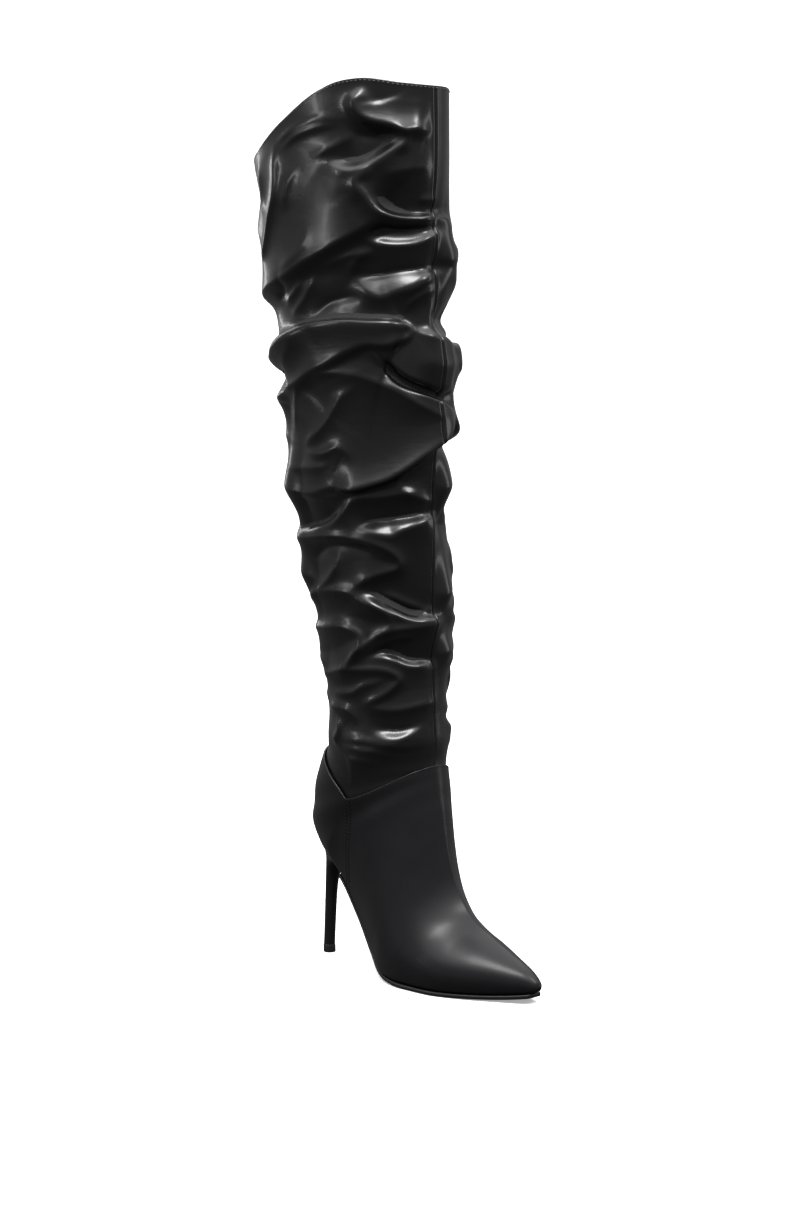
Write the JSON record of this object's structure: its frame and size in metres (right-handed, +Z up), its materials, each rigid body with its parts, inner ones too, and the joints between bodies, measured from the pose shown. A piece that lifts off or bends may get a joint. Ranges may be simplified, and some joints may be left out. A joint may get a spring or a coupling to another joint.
{
  "type": "slouch boot",
  "caption": "Over-the-knee slouch boot with a pointed toe, a foot upper with a notched topline, a tall gathered shaft and a slim stiletto heel.",
  "frame": {"origin": "centre of the heel's top piece where it meets the floor", "axes": "+X towards the toe, +Y towards the inner (medial) side, +Z up"},
  "size_m": [0.2869, 0.1185, 0.668],
  "materials": {
    "foot_leather": "smooth black with a satin sheen",
    "shaft_leather": "soft black with a wet-look gloss",
    "insole_lining": "matt black lining",
    "outsole": "smooth black, satin edge",
    "heel_cover": "smooth black cover",
    "top_piece": "matt black"
  },
  "bodies": {
    "root": {"upper": "foot_leather", "shaft": "shaft_leather", "insole": "insole_lining", "outsole": "outsole", "heel": "heel_cover", "top_lift": "top_piece"}
  },
  "joints": []
}
